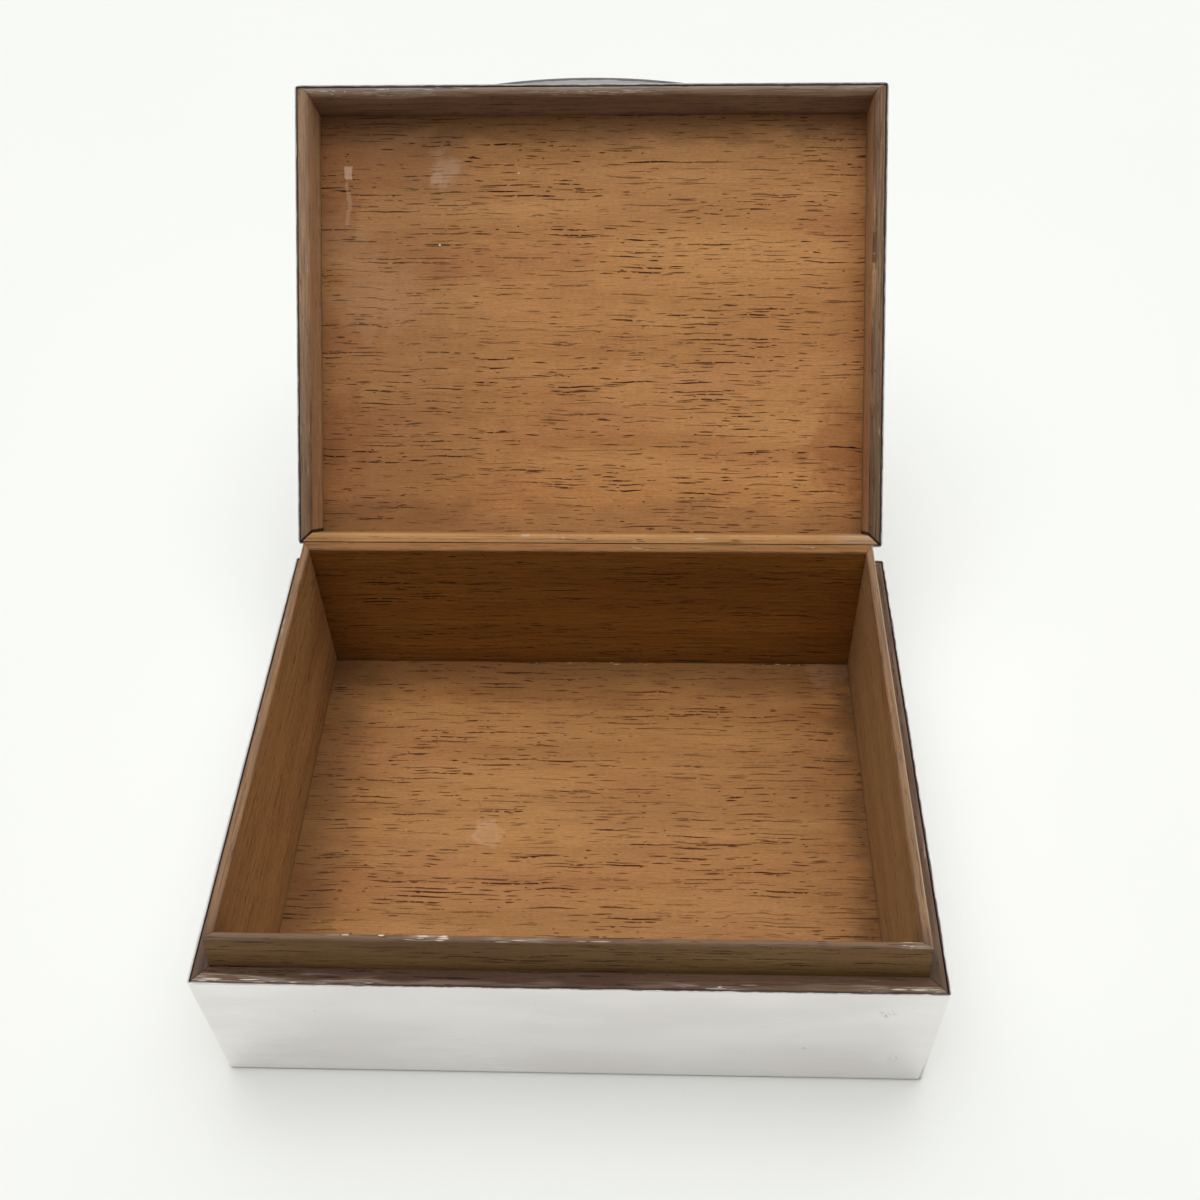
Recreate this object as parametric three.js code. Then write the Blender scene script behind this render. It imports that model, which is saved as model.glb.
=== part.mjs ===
// Table cigarette box: a wooden box in a thin silver case, with a hinged lid that stands open.
// Millimetres. +X runs along the width, +Y towards the hinge at the back, +Z up.
// The origin is the middle of the underside, and the lid is shown open against its stop.

import * as THREE from 'three';

// Outside of the silver case
const boxWidth = 114.3;
const boxDepth = 88.9;
const rimHeight = 29.8;
const cornerRadius = 0.8;
const innerCornerRadius = 0.2;
const sheet = 0.4;
const lidTopSheet = 0.6;
const lidEdgeRound = 0.7;
const bandLift = 0.3;

// Wooden boards and the cloth under them
const baizeThickness = 0.8;
const baizeInset = 0.4;
const baseBoardThickness = 1.5;
const floorThickness = 1.5;
const carcassFront = 2.4;
const carcassSide = 2.4;
const carcassBack = 2.1;
const ledgeRound = 0.3;

// Lip round the opening: its outer face leans in from the ledge to a narrow top
const lipHeight = 7;
const lipTopFront = 1;
const lipTopSide = 1.5;
const lipTopBack = 2;
const lipLeanFront = 1.1;
const lipLeanSide = 0.3;
const lipLeanBack = 0.1;
const lipRound = 0.4;

// Wood in the lid
const lidPanelThickness = 1.6;
const lidHeadroom = 3;
const frameFront = 1.2;
const frameLeanFront = 1.65;
const frameRound = 0.9;

// Hinge
const openAngleDegrees = 133;
const hingeDrop = 0.2;
const hingeEndInset = 7.15;
const knuckleCount = 5;
const knuckleRadius = 1.1;
const knuckleGap = 0.3;
const knuckleStandOff = 0.4;
const pinRadius = 0.4;
const pinEndProud = 0.3;
const bearerHeight = 7;
const bearerDrop = 0.9;
const stopReach = 2;

// Thumb-piece on the lid's front
const thumbWidth = 38;
const thumbProjection = 1.2;
const thumbThickness = 1.2;
const thumbRound = 0.3;
const thumbLift = 0.5;

// Clearances
const glueLine = 0.1;
const lidFit = 0.15;
const lipClearance = 0.3;
const closingGap = 0.3;
const pinClearance = 0.25;
const seatClearance = 0.3;
const mitreGap = 0.1;

// Facets of the rounded edges
const cornerSteps = 3;
const woodEdgeSteps = 3;
const edgeSteps = 4;
const hingeSegments = 20;
const grooveSteps = 8;
const thumbArcSteps = 24;

// Heights and insets that follow from the sizes above. An inset is measured in from the case's outside.
const baseTop = baizeThickness + baseBoardThickness;
const floorTop = baseTop + floorThickness;
const lipTop = rimHeight + lipHeight;
const woodInset = sheet + glueLine;
const ledge = {
  front: woodInset + carcassFront,
  side: woodInset + carcassSide,
  back: woodInset + carcassBack,
};
const lipTopWidth = { front: lipTopFront, side: lipTopSide, back: lipTopBack };
const lipLean = { front: lipLeanFront, side: lipLeanSide, back: lipLeanBack };

// The hinge's axis lies behind the back wall, a little below the rim.
const hingeOffset = knuckleRadius + knuckleStandOff;
const hingeY = boxDepth / 2 + hingeOffset;
const hingeZ = rimHeight - hingeDrop;
const hingeLength = boxWidth - 2 * hingeEndInset;
const openAngle = THREE.MathUtils.degToRad(openAngleDegrees);

// Lid sizes, measured up from the lid's own rim as if it were shut
const frameOuterInset = sheet + lidFit;
const frameInner = {
  front: frameOuterInset + frameFront,
  side: ledge.side - lipClearance,
  back: ledge.back - lipClearance,
};
const frameLean = { front: frameLeanFront, side: 0, back: 0 };
const frameHeight = lipHeight + lidHeadroom;
const panelBottom = frameHeight + lidFit;
const shellCeiling = panelBottom + lidPanelThickness + lidFit;
const lidHeight = shellCeiling + lidTopSheet;

function material(color, roughness, metalness) {
  return new THREE.MeshStandardMaterial({ color, roughness, metalness });
}

const silver = material(0xcfccc6, 0.25, 1);
const darkSilver = material(0x9d9993, 0.35, 1);
const panelWood = material(0xa57346, 0.55, 0);
const wallWood = material(0x7a522e, 0.55, 0);
const ledgeWood = material(0x7d6a57, 0.45, 0);
const baseWood = material(0x5b3c22, 0.7, 0);
const baize = material(0x2d3b30, 0.95, 0);

function piece(name, geometry, pieceMaterial) {
  const mesh = new THREE.Mesh(geometry, pieceMaterial);
  mesh.name = name;
  return mesh;
}

function closedGeometry(vertices, triangles) {
  const geometry = new THREE.BufferGeometry();
  geometry.setAttribute('position', new THREE.Float32BufferAttribute(vertices.flat(), 3));
  geometry.setIndex(triangles.flat());
  geometry.computeVertexNormals();
  return geometry;
}

// Counter-clockwise outline of a rectangle with round corners, inset from the case's outside.
function ring(inset, z, radius) {
  const halfWidth = boxWidth / 2 - inset - radius;
  const halfDepth = boxDepth / 2 - inset - radius;
  const corners = [[1, -1], [1, 1], [-1, 1], [-1, -1]];
  return corners.flatMap(([sideX, sideY], corner) => {
    const start = (corner - 1) * Math.PI / 2;
    return Array.from({ length: cornerSteps + 1 }, (_, step) => {
      const angle = start + step / cornerSteps * Math.PI / 2;
      const x = sideX * halfWidth + radius * Math.cos(angle);
      const y = sideY * halfDepth + radius * Math.sin(angle);
      return [x, y, z];
    });
  });
}

// Joins each ring to the next. Open stacks are capped at both ends, closed ones go round a hole.
function stackRings(rings, goesRoundHole) {
  const size = rings[0].length;
  const at = (level, index) => (level % rings.length) * size + index % size;
  const joints = goesRoundHole ? rings.length : rings.length - 1;
  const triangles = [];
  for (let level = 0; level < joints; level += 1) {
    for (let index = 0; index < size; index += 1) {
      const low = [at(level, index), at(level, index + 1)];
      const high = [at(level + 1, index), at(level + 1, index + 1)];
      triangles.push([low[0], low[1], high[1]], [low[0], high[1], high[0]]);
    }
  }
  if (!goesRoundHole) {
    const last = rings.length - 1;
    for (let index = 1; index < size - 1; index += 1) {
      triangles.push([at(0, 0), at(0, index + 1), at(0, index)]);
      triangles.push([at(last, 0), at(last, index), at(last, index + 1)]);
    }
  }
  return closedGeometry(rings.flat(), triangles);
}

// A strip along X whose ends are mitred to its two neighbours. The three sections are counter-clockwise
// lists of [inset, height] with matching heights, so that neighbours meet point by point.
function mitredStrip(length, section, startSection, endSection, endFaces) {
  const count = section.length;
  const reach = length / 2 - mitreGap / 2;
  const atStart = ([inset, z], index) => [startSection[index][0] - reach, inset, z];
  const atEnd = ([inset, z], index) => [reach - endSection[index][0], inset, z];
  const triangles = [];
  for (let index = 0; index < count; index += 1) {
    const next = (index + 1) % count;
    triangles.push([index, next + count, index + count], [index, next, next + count]);
  }
  for (const [a, b, c] of endFaces) {
    triangles.push([a, c, b], [a + count, b + count, c + count]);
  }
  return closedGeometry([...section.map(atStart), ...section.map(atEnd)], triangles);
}

// Four mitred strips round the box. The section of one side is worked out by sectionFor.
function mitredFrame(prefix, sectionFor, stripMaterial) {
  const section = { front: sectionFor('front'), side: sectionFor('side'), back: sectionFor('back') };
  const outline = section.front.map(([inset, z]) => new THREE.Vector2(inset, z));
  const endFaces = THREE.ShapeUtils.triangulateShape(outline, []);
  const sides = [
    { name: 'front', quarterTurns: 0, sections: ['front', 'side', 'side'] },
    { name: 'right', quarterTurns: 1, sections: ['side', 'front', 'back'] },
    { name: 'back', quarterTurns: 2, sections: ['back', 'side', 'side'] },
    { name: 'left', quarterTurns: 3, sections: ['side', 'back', 'front'] },
  ];
  return sides.map(({ name, quarterTurns, sections }) => {
    const runsAlongX = quarterTurns % 2 === 0;
    const length = runsAlongX ? boxWidth : boxDepth;
    const away = runsAlongX ? boxDepth / 2 : boxWidth / 2;
    const turn = quarterTurns * Math.PI / 2;
    const [own, start, end] = sections.map((kind) => section[kind]);
    const strip = piece(`${prefix}_${name}`, mitredStrip(length, own, start, end, endFaces), stripMaterial);
    strip.position.set(away * Math.sin(turn), -away * Math.cos(turn), 0);
    strip.rotation.z = turn;
    return strip;
  });
}

// A flat board inside the walls, with its own inset from each side of the case.
function board(name, inset, bottom, thickness, boardMaterial) {
  const width = boxWidth - 2 * inset.side;
  const depth = boxDepth - inset.front - inset.back;
  const geometry = new THREE.BoxGeometry(width, depth, thickness);
  geometry.translate(0, (inset.front - inset.back) / 2, bottom + thickness / 2);
  return piece(name, geometry, boardMaterial);
}

function evenInset(inset) {
  return { front: inset, side: inset, back: inset };
}

function bodyBand() {
  const rings = [
    ring(0, bandLift, cornerRadius),
    ring(0, rimHeight, cornerRadius),
    ring(sheet, rimHeight, innerCornerRadius),
    ring(sheet, bandLift, innerCornerRadius),
  ];
  return piece('silver_body_band', stackRings(rings, true), silver);
}

function basePad() {
  const inset = woodInset + baizeInset;
  const rings = [ring(inset, 0, innerCornerRadius), ring(inset, baizeThickness, innerCornerRadius)];
  return piece('base_baize', stackRings(rings, false), baize);
}

// A quarter round in a strip's section, from one quarter turn to the next, counter-clockwise.
function roundedEdge(centreInset, centreZ, radius, quarter) {
  return Array.from({ length: woodEdgeSteps + 1 }, (_, step) => {
    const angle = (quarter + step / woodEdgeSteps) * Math.PI / 2;
    return [centreInset + radius * Math.cos(angle), centreZ + radius * Math.sin(angle)];
  });
}

function carcassSection(side) {
  return [
    [woodInset, baseTop],
    [ledge[side], baseTop],
    [ledge[side], rimHeight],
    ...roundedEdge(woodInset + ledgeRound, rimHeight - ledgeRound, ledgeRound, 1),
  ];
}

function linerSection(side) {
  const lipOuter = ledge[side] + lipLean[side];
  const inner = lipOuter + lipTopWidth[side];
  return [
    [ledge[side], floorTop],
    [inner, floorTop],
    ...roundedEdge(inner - lipRound, lipTop - lipRound, lipRound, 0),
    ...roundedEdge(lipOuter + lipRound, lipTop - lipRound, lipRound, 1),
    [ledge[side], rimHeight],
  ];
}

function lidFrameSection(side) {
  const inner = frameInner[side];
  return [
    [frameOuterInset, 0],
    ...roundedEdge(inner - frameRound, frameRound, frameRound, 3),
    [inner + frameLean[side], frameHeight],
    [frameOuterInset, frameHeight],
  ];
}

function lidShell() {
  const rings = [
    ring(sheet, shellCeiling, innerCornerRadius),
    ring(sheet, 0, innerCornerRadius),
    ring(0, 0, cornerRadius),
  ];
  for (let step = 0; step <= edgeSteps; step += 1) {
    const angle = step / edgeSteps * Math.PI / 2;
    const inset = lidEdgeRound * (1 - Math.cos(angle));
    const z = lidHeight - lidEdgeRound * (1 - Math.sin(angle));
    rings.push(ring(inset, z, Math.max(cornerRadius - inset, innerCornerRadius)));
  }
  return piece('silver_lid_shell', stackRings(rings, false), silver);
}

// Outline of a shallow bow: its flat side lies along the lid's front, its round side points forward.
function bowOutline(edgeInset, z) {
  const radius = (thumbWidth ** 2 / 4 + thumbProjection ** 2) / (2 * thumbProjection);
  const centreY = radius - thumbProjection;
  const halfAngle = Math.acos(centreY / (radius - edgeInset));
  return Array.from({ length: thumbArcSteps + 1 }, (_, step) => {
    const angle = halfAngle * (2 * step / thumbArcSteps - 1);
    const x = (radius - edgeInset) * Math.sin(angle);
    const y = centreY - (radius - edgeInset) * Math.cos(angle);
    return [x, y, z];
  });
}

function thumbPiece() {
  const levels = [
    [thumbRound, 0],
    [0, thumbRound],
    [0, thumbThickness - thumbRound],
    [thumbRound, thumbThickness],
  ];
  const geometry = stackRings(levels.map(([edgeInset, z]) => bowOutline(edgeInset, z)), false);
  geometry.translate(0, -boxDepth / 2 - lidFit, thumbLift);
  return piece('thumb_piece', geometry, silver);
}

// Turns a section drawn in Y and Z into a bar along X, centred on the middle of the box.
function barAlongX(outline, length) {
  const geometry = new THREE.ExtrudeGeometry(outline, { depth: length, bevelEnabled: false });
  const xAxis = new THREE.Vector3(1, 0, 0);
  const yAxis = new THREE.Vector3(0, 1, 0);
  const zAxis = new THREE.Vector3(0, 0, 1);
  geometry.applyMatrix4(new THREE.Matrix4().makeBasis(yAxis, zAxis, xAxis));
  geometry.translate(-length / 2, 0, 0);
  return geometry;
}

// Bar beside the knuckles, drawn from the hinge's axis. Upwards is 1 on the lid and -1 on the body.
// Its sloping outer face is the stop: the two bars meet there when the lid is fully open.
function hingeBearer(name, upwards, wallGap) {
  const grooveRadius = knuckleRadius + seatClearance;
  const stopAngle = openAngle / 2;
  const stopGap = closingGap / 2;
  const stopPoint = (reach) => [
    reach * Math.cos(stopAngle) - stopGap * Math.sin(stopAngle),
    reach * Math.sin(stopAngle) + stopGap * Math.cos(stopAngle),
  ];
  const back = -hingeOffset + wallGap;
  const grooveStart = Math.PI - Math.asin(bearerDrop / grooveRadius);
  const grooveEnd = stopAngle + Math.asin(stopGap / grooveRadius);
  const points = [[back, bearerDrop]];
  for (let step = 0; step <= grooveSteps; step += 1) {
    const angle = grooveStart + step / grooveSteps * (grooveEnd - grooveStart);
    points.push([grooveRadius * Math.cos(angle), grooveRadius * Math.sin(angle)]);
  }
  points.push(stopPoint(grooveRadius + stopReach), [back, bearerHeight]);
  const outline = new THREE.Shape(points.map(([y, z]) => new THREE.Vector2(y, upwards * z)));
  return piece(name, barAlongX(outline, hingeLength), silver);
}

function knuckle(name, x, length) {
  const bore = pinRadius + pinClearance;
  const section = [
    new THREE.Vector2(bore, -length / 2),
    new THREE.Vector2(knuckleRadius, -length / 2),
    new THREE.Vector2(knuckleRadius, length / 2),
    new THREE.Vector2(bore, length / 2),
    new THREE.Vector2(bore, -length / 2),
  ];
  const geometry = new THREE.LatheGeometry(section, hingeSegments);
  geometry.rotateZ(-Math.PI / 2);
  geometry.translate(x, 0, 0);
  return piece(name, geometry, silver);
}

// Knuckles alternate along the pin: the first, third and fifth belong to the body.
function knuckles(firstIndex, prefix) {
  const length = (hingeLength - (knuckleCount - 1) * knuckleGap) / knuckleCount;
  const pieces = [];
  for (let index = firstIndex; index < knuckleCount; index += 2) {
    const x = -hingeLength / 2 + length / 2 + index * (length + knuckleGap);
    pieces.push(knuckle(`${prefix}_${pieces.length + 1}`, x, length));
  }
  return pieces;
}

function hingePin() {
  const halfLength = hingeLength / 2 + pinEndProud;
  const section = [
    new THREE.Vector2(0, -halfLength),
    new THREE.Vector2(pinRadius / 2, -halfLength),
    new THREE.Vector2(pinRadius, -halfLength + pinRadius / 2),
    new THREE.Vector2(pinRadius, halfLength - pinRadius / 2),
    new THREE.Vector2(pinRadius / 2, halfLength),
    new THREE.Vector2(0, halfLength),
  ];
  const geometry = new THREE.LatheGeometry(section, hingeSegments);
  geometry.rotateZ(-Math.PI / 2);
  return piece('hinge_pin', geometry, darkSilver);
}

function boxBody() {
  const body = new THREE.Group();
  body.add(bodyBand(), basePad());
  body.add(board('base_board', evenInset(woodInset), baizeThickness, baseBoardThickness, baseWood));
  body.add(board('floor_panel', ledge, baseTop, floorThickness, panelWood));
  body.add(...mitredFrame('carcass', carcassSection, ledgeWood));
  body.add(...mitredFrame('liner', linerSection, wallWood));
  const hinge = new THREE.Group();
  hinge.position.set(0, hingeY, hingeZ);
  hinge.add(hingeBearer('body_hinge_bearer', -1, 0), ...knuckles(0, 'body_knuckle'), hingePin());
  body.add(hinge);
  return body;
}

// The turning group sits on the hinge's axis, and the case group inside it puts the shut lid in place.
function openLid() {
  const lid = new THREE.Group();
  lid.position.set(0, hingeY, hingeZ);
  lid.rotation.x = -openAngle;
  const shutCase = new THREE.Group();
  shutCase.position.set(0, -hingeY, hingeDrop + closingGap);
  shutCase.add(lidShell(), thumbPiece(), ...mitredFrame('lid_frame', lidFrameSection, ledgeWood));
  shutCase.add(board('lid_panel', evenInset(frameOuterInset), panelBottom, lidPanelThickness, panelWood));
  lid.add(shutCase, hingeBearer('lid_hinge_bearer', 1, lidFit), ...knuckles(1, 'lid_knuckle'));
  return lid;
}

const box = new THREE.Group();
box.add(boxBody(), openLid());

export default box;
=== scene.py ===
import math

import bmesh
import bpy
from mathutils import Matrix, Vector


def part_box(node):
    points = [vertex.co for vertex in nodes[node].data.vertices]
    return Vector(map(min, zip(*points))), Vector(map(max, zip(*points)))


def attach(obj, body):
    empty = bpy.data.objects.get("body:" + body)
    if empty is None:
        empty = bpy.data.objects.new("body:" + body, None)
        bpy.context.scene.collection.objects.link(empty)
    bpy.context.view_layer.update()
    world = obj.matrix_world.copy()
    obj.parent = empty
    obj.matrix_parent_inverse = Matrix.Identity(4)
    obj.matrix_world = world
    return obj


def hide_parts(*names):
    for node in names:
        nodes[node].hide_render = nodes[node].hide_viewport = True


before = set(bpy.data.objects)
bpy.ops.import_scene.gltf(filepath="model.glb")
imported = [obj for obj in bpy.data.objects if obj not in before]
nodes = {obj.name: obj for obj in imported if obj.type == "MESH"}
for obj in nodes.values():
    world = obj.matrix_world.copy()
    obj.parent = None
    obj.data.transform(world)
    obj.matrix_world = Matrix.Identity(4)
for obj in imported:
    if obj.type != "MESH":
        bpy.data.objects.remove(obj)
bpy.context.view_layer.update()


def linear(red, green, blue):
    """A colour written as it is seen, from 0 to 255, as the shader takes it."""
    def one(value):
        value = value / 255.0
        return value / 12.92 if value <= 0.04045 else ((value + 0.055) / 1.055) ** 2.4
    return (one(red), one(green), one(blue), 1.0)


# One millimetre in Blender's metres
MILLIMETRE = 0.001

# The photograph's frame and the viewpoint found from it
IMAGE_SIDE = 1200
FOCAL_PIXELS = 1355.3
OPTICAL_CENTRE = (610.4, 551.6)
CAMERA_PLACE = (0.01266, -0.13742, 0.21989)
CAMERA_PITCH = math.radians(45.939)
CAMERA_YAW = math.radians(-2.593)
CAMERA_ROLL = math.radians(-1.546)
SENSOR_WIDTH = 36.0
NEAREST_SEEN = 0.01

# Sizes of the part that the materials follow, in millimetres
HALF_WIDTH = 57.15
HALF_DEPTH = 44.45
HINGE_AXIS = (0.0, 45.95, 29.6)
LID_TURN = math.radians(133.0)
BAND_FOOT = 0.3
FLOOR_TOP = 3.8
RIM_HEIGHT = 29.8
LIP_TOP = 36.8
LINER_INSET = 4.7
RIGHT_ARRIS = 53.8
LID_RIM = 30.1
LID_FRAME_TOP = 40.1
THUMB_HALF_WIDTH = 19.0
THUMB_PROJECTION = 1.2
THUMB_LIFT = 0.5

# How far edges are rounded and how near corners are joined for it, in millimetres, and which edges
# are sharp enough to be rounded
WOOD_ROUNDING = 0.15
SILVER_ROUNDING = 0.08
CLOTH_ROUNDING = 0.15
JOINED_WITHIN = 0.001
SHARP_ANGLE = math.radians(40.0)

# The cloth under the box: cells along each side, and in millimetres how its cut edge wanders
BAIZE_CELLS = 32
BAIZE_WAVES = 23.0
BAIZE_WANDER = 0.2
BAIZE_CORNER = 0.5

# Marks on the lid's board, at (x, y) of the shut lid in millimetres: middle, radius and strength,
# for the tapes middle, half width with half length, and strength, and for the specks no strength
PANEL_SMUDGES = (
    ((-30.0, -30.5), 4.2, 0.9),
    ((-31.2, -29.0), 2.0, 1.4),
    ((-44.5, -5.0), 11.0, 0.25),
    ((-50.0, -16.0), 8.0, 0.25),
)
PANEL_STAINS = (
    ((-51.0, -21.0), 6.0, 0.8),
    ((-50.5, 23.0), 11.0, 0.6),
    ((51.5, 25.0), 11.0, 0.9),
    ((-10.0, 4.0), 27.0, 0.3),
)
PANEL_TAPES = (((-48.7, -29.9), (0.95, 1.5), 1.9), ((-49.2, -23.7), (0.5, 4.6), 0.7))
PANEL_SPECKS = (((-14.7, -29.8), 0.25), ((-30.6, -15.6), 0.25))

# Marks on the floor at (x, y): middle and radius
FLOOR_DROP = ((-17.5, -1.5), 3.2)
FLOOR_DUST = ((48.5, 38.0), 5.0)

# Specks on the silver front at (x, z): middle, radius and strength
FRONT_SPECKS = (
    ((36.8, 11.1), 0.6, 0.9),
    ((48.3, 23.6), 1.6, 0.45),
    ((51.6, 8.0), 2.0, 0.25),
    ((-39.2, 21.8), 0.4, 0.8),
)

# How far grime and painted shade creep over the boards from the outside of the case, and how dark they are
# On the floor the darkening along the walls is partly painted shade.
FLOOR_DIRT_AND_SHADE = {"left": (18.0, 0.46), "right": (10.5, 0.52), "back": (18.0, 0.4)}
# On the lid's board the front entry is partly a painted shadow cast by the front strip.
PANEL_DIRT_AND_SHADE = {"left": (45.0, 0.3), "right": (6.0, 0.12), "front": (11.0, 0.4), "back": (11.0, 0.36)}
BASE_DIRT = {"left": (8.0, 0.4), "right": (8.0, 0.4), "front": (8.0, 0.4), "back": (8.0, 0.4)}

# Where grime and painted light lie on the strips, as where they begin and where they are full, in
# millimetres:
# grime and painted shade up from a board and up from the ledge, over the lip's outside, painted shade across
# an open mitre of the lid, in from the hinge side, along the hinge strip, a painted highlight on the right
# wall's top, in from the front, towards the left end, towards the back, and along and down the lid's side
# strips
FOOT_DIRT_AND_SHADE = (2.0, 0.0)
LEDGE_DIRT_AND_SHADE = (1.6, 0.0)
LIP_OUTSIDE = (LINER_INSET - 0.3, LINER_INSET - 0.6)
MITRE_GAP = (0.45, 0.2)
HINGE_STRIP = (4.6, 4.0)
HINGE_DUST = (46.0, 51.0)
ARRIS_SIDE = (RIGHT_ARRIS - 0.2, RIGHT_ARRIS)
ARRIS_TOP = (LIP_TOP - 0.6, LIP_TOP - 0.3)
CORNER_GRIME = (11.0, 3.0)
SOOT_TO_LEFT = (-42.0, -54.0)
SOOT_TO_BACK = (30.0, 36.0)
SOIL_ALONG = (50.0, 6.0)
SOIL_DOWN = (1.4, 0.8)

# Stretches of the strips along the front with the most scuff strokes and painted glints, as middle and half
# length
LIP_SCUFFS_AND_GLINTS = ((-20.5, 4.0), (-7.0, 6.0), (52.0, 4.0))
LEDGE_SCUFFS_AND_GLINTS = ((-46.0, 30.0), (22.0, 8.0), (50.0, 9.0))
FRAME_SCUFFS_AND_GLINTS = ((-52.0, 6.0), (-36.0, 9.0), (2.0, 16.0))

# Tints that the wood is multiplied by: a reddish blush, and old stains
BLUSH = (0.86, 0.72, 0.82, 1.0)
STAIN = (0.76, 0.66, 0.62, 1.0)

# Light tone, dark tone and pores of each wood; the side walls and the lid's side strips are painted
# lighter than their wood, as painted light from the sides
PANEL = (linear(208, 150, 92), linear(194, 136, 80), linear(58, 17, 2))
FLOOR = (linear(176, 125, 72), linear(162, 112, 62), linear(70, 26, 4))
LEFT_WALL = (linear(188, 144, 92), linear(177, 133, 83), linear(110, 70, 38))
RIGHT_WALL = (linear(184, 146, 99), linear(173, 135, 90), linear(110, 72, 44))
BASE = (linear(150, 108, 66), linear(134, 94, 56), linear(70, 40, 20))
BACK_WALL = (linear(152, 103, 44), linear(137, 91, 37), linear(46, 17, 4))
LIP = (linear(122, 90, 51), linear(106, 77, 42), linear(36, 20, 10))
LEDGE = (linear(112, 82, 62), linear(94, 67, 50), linear(48, 30, 22))
SIDE_LEDGE = (linear(128, 102, 84), linear(112, 88, 70), linear(56, 38, 28))
# The lid's side strips are painted lighter, as painted light on their inner faces.
LID_LEFT = (linear(211, 174, 134), linear(196, 160, 121), linear(96, 62, 38))
LID_RIGHT = (linear(198, 160, 121), linear(184, 146, 108), linear(96, 62, 38))
LID_FRONT = (linear(134, 106, 82), linear(114, 90, 69), linear(54, 34, 22))
LID_BACK = (linear(188, 142, 85), linear(169, 123, 70), linear(96, 58, 30))

# Wood where hands rub, also a painted sheen where the lip's and ledges' rounded edges catch the light,
# and on the lid's front strip also painted light over its rounding and down its inner face
LIP_RUB_AND_SHEEN = linear(124, 99, 81)
WALL_RUB = linear(128, 98, 76)
BACK_RUB = linear(154, 108, 64)
LEDGE_RUB_AND_SHEEN = linear(126, 102, 83)
FRONT_RUB_AND_LIGHT = linear(170, 146, 128)
SIDE_RUB = linear(146, 115, 90)
RIGHT_RUB = linear(110, 85, 66)
HINGE_RUB = linear(197, 147, 94)

# Dirt and marks of use on the wood, some of them also painted light: shade with the board grime, the corner
# colour and the soot, a sheen with the grazing, glints with the specks and scuff strokes, a highlight with
# the dusty colour
BOARD_GRIME_AND_SHADE = linear(74, 48, 30)
FILM = linear(216, 174, 140)
SPECK_AND_GLINT = linear(238, 230, 218)
CORNER_DIRT_AND_SHADE = linear(46, 30, 20)
CRACK = linear(62, 38, 22)
GRAZE_AND_SHEEN = linear(174, 164, 150)
SOIL = linear(60, 46, 36)
SCUFF_AND_GLINT = linear(216, 206, 192)
DUST_AND_HIGHLIGHT = linear(196, 174, 148)
SOOT_AND_SHADE = linear(44, 30, 20)

# Silver, its faint and its dark tarnishing, the dark one partly painted shade, the wax on its edge, and the
# hinge's wire
SILVER_BRIGHT = linear(235, 232, 231)
SILVER_DULL = linear(227, 223, 221)
FAINT_TARNISH = linear(150, 142, 132)
DARK_TARNISH_AND_SHADE = linear(66, 56, 48)
WAX = linear(176, 130, 84)
WIRE_BRIGHT = linear(196, 192, 186)
WIRE_DULL = linear(160, 154, 146)

# Cloth, and the table with its side in metres
BAIZE_DEEP = linear(22, 44, 30)
BAIZE_NAP = linear(44, 76, 52)
BAIZE_BRUSHED = linear(62, 88, 64)
TABLE_DULL = linear(240, 242, 237)
TABLE_BRIGHT = linear(243, 244, 240)
TABLE_SIDE = 6.0

# Light levels: from overhead, from behind and from all round, then the room in reflections and seen
TOP_LIGHT = 2.5
BACK_LIGHT = 0.93
ROUND_LIGHT = 0.05
ROOM_REFLECTED = 0.9
ROOM_SEEN = 0.9

# How far up and how far back the light begins and is full, then the side where reflections are dim
OVERHEAD = (0.65, 0.95)
BEHIND = (0.0, 0.8)
DIM_SIDE = (0.05, -0.72, 0.69)
DIM_SPREAD = (0.5, 0.95)
DIM_LEVEL = 0.5

# Sockets of a mix node that take and give colours
FIRST_COLOUR = 6
SECOND_COLOUR = 7
MIXED_COLOUR = 2


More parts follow.
